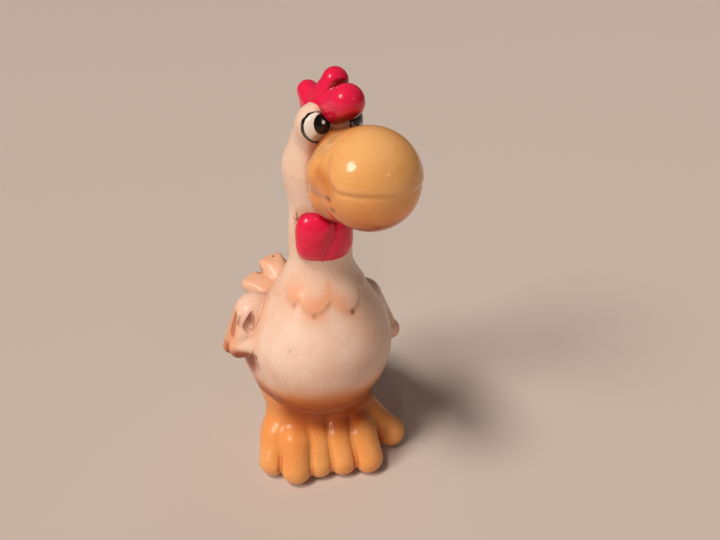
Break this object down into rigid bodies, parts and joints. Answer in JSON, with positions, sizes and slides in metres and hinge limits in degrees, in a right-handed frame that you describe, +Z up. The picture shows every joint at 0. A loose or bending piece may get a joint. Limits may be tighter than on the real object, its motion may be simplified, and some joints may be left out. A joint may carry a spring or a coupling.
{
  "type": "ceramic hen figurine",
  "caption": "Free-standing hollow glazed ceramic hen with a bulbous beak, round body, stubby wings and plumes, and fused six-toed feet",
  "frame": {"origin": "middle of the flat base under the feet, on the surface that the figurine stands on", "axes": "+Z up, -Y the way the hen's body faces, +X the hen's left side"},
  "size_m": [0.0836, 0.0908, 0.17],
  "materials": {
    "cream_glaze": "cream underglaze with peach airbrush and brown wash under a clear gloss glaze",
    "foot_glaze": "yellow-orange underglaze, darker in the creases, under a clear gloss glaze",
    "beak_glaze": "yellow ochre underglaze with orange shading under a clear gloss glaze",
    "red_glaze": "crimson gloss glaze",
    "eye_glaze": "white with hand-painted black pupil and outline under a clear gloss glaze",
    "wing_glaze": "cream underglaze with orange edges and brown wash between the feathers, clear gloss glaze",
    "plume_glaze": "peach underglaze with brown wash in the creases, clear gloss glaze"
  },
  "bodies": {
    "root": {"body_casting": "cream_glaze", "foot_casting": "foot_glaze", "beak": "beak_glaze", "comb": "red_glaze", "wattle": "red_glaze", "right_eye": "eye_glaze", "left_eye": "eye_glaze", "right_wing": "wing_glaze", "left_wing": "wing_glaze", "tail_plume_center": "plume_glaze", "tail_plume_right": "plume_glaze", "tail_plume_left": "plume_glaze", "tail_plume_outer_right": "plume_glaze", "tail_plume_outer_left": "plume_glaze"}
  },
  "joints": []
}
